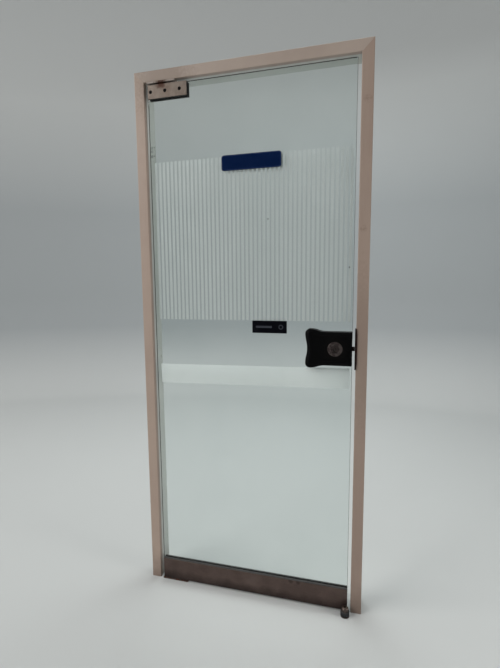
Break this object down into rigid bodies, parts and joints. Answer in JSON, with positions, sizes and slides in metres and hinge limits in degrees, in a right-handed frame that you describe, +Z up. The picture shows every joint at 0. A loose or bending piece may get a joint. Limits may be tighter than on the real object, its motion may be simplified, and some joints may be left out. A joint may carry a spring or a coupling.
{
  "type": "glass entrance door",
  "caption": "Frameless glass entrance door with stripe film, patch fitting, bottom rail and black lock, hung on pivots in a painted metal frame.",
  "frame": {"origin": "on the leaf's pivot axis, at floor level, at the middle of the floor plate's underside", "axes": "+X along the closed leaf towards its latch edge, +Y into the room the leaf opens to, +Z up"},
  "size_m": [0.92, 0.1294, 2.154],
  "materials": {
    "frame_paint": "satin",
    "pale_plate": "satin",
    "rusty_steel": "worn",
    "dark_steel": "satin",
    "screw_steel": "satin",
    "dark_screw": "blackened",
    "bronze": "plain",
    "strike_steel": "worn",
    "stop_steel": "satin",
    "stop_rubber": "matt",
    "clear_glass": "polished",
    "frosted_film": "frosted",
    "blue_plate": "gloss",
    "black_plate": "gloss",
    "patch_casting": "dark",
    "patch_satin": "satin",
    "black_rubber": "matt",
    "rail_aluminium": "mill",
    "rail_bronze": "brushed",
    "white_plastic": "matt",
    "lock_black": "semi gloss",
    "lock_steel": "satin",
    "lock_brass": "worn",
    "rosette_steel": "worn"
  },
  "bodies": {
    "frame": {"hinge_jamb": "frame_paint", "latch_jamb": "frame_paint", "frame_head": "frame_paint", "top_pivot_plate": "pale_plate", "top_plate_screws": "screw_steel", "top_pivot_pin": "rusty_steel", "floor_pivot_plate": "dark_steel", "floor_pivot_pin": "dark_steel", "thrust_washer": "bronze", "strike_plate": "strike_steel", "strike_screws": "screw_steel", "stop_post": "stop_steel", "stop_ring": "stop_rubber"},
    "leaf": {"block_screws": "screw_steel", "cylinder_rosette": "rosette_steel", "end_cap_screws": "screw_steel", "film_band": "frosted_film", "film_stripes": "frosted_film", "glass_pane": "clear_glass", "lock_body": "lock_steel", "lock_body_lid": "lock_steel", "lock_cylinder": "lock_brass", "lock_front_case": "lock_black", "lock_gaskets": "black_rubber", "lock_rear_case": "lock_black", "lock_screws": "screw_steel", "name_plate": "blue_plate", "patch_bush": "bronze", "patch_front_body": "patch_casting", "patch_front_cover": "patch_satin", "patch_liners": "black_rubber", "patch_pivot_block": "dark_steel", "patch_rear_body": "patch_casting", "patch_rear_cover": "patch_satin", "patch_screws": "dark_screw", "push_sign": "black_plate", "rail_bush": "bronze", "rail_channel": "rail_aluminium", "rail_end_caps": "rail_bronze", "rail_front_cover": "rail_bronze", "rail_gaskets": "black_rubber", "rail_pivot_block": "dark_steel", "rail_rear_cover": "rail_bronze", "setting_blocks": "white_plastic", "turn_rosette": "rosette_steel"},
    "bolt": {"bolt": "lock_steel"},
    "lock_spindle": {"key_plug": "lock_brass", "bolt_cam": "lock_steel", "thumb_turn": "rosette_steel"}
  },
  "joints": [
    {"name": "leaf_swing", "type": "hinge", "parent": "frame", "child": "leaf", "pos_m": [0, 0, 0], "axis": [0, 0, 1], "range_deg": [0, 90]},
    {"name": "lock_turn", "type": "hinge", "parent": "leaf", "child": "lock_spindle", "pos_m": [0.688, 0, 1.073], "axis": [0, 1, 0], "range_deg": [-51.8, 51.8]},
    {"name": "bolt_throw", "type": "slide", "parent": "leaf", "child": "bolt", "axis": [1, 0, 0], "range_m": [-0.011, 0.011]}
  ],
  "couplings": [
    {"joint": "lock_turn", "follows": "bolt_throw", "rad_per_m": 82.18}
  ]
}
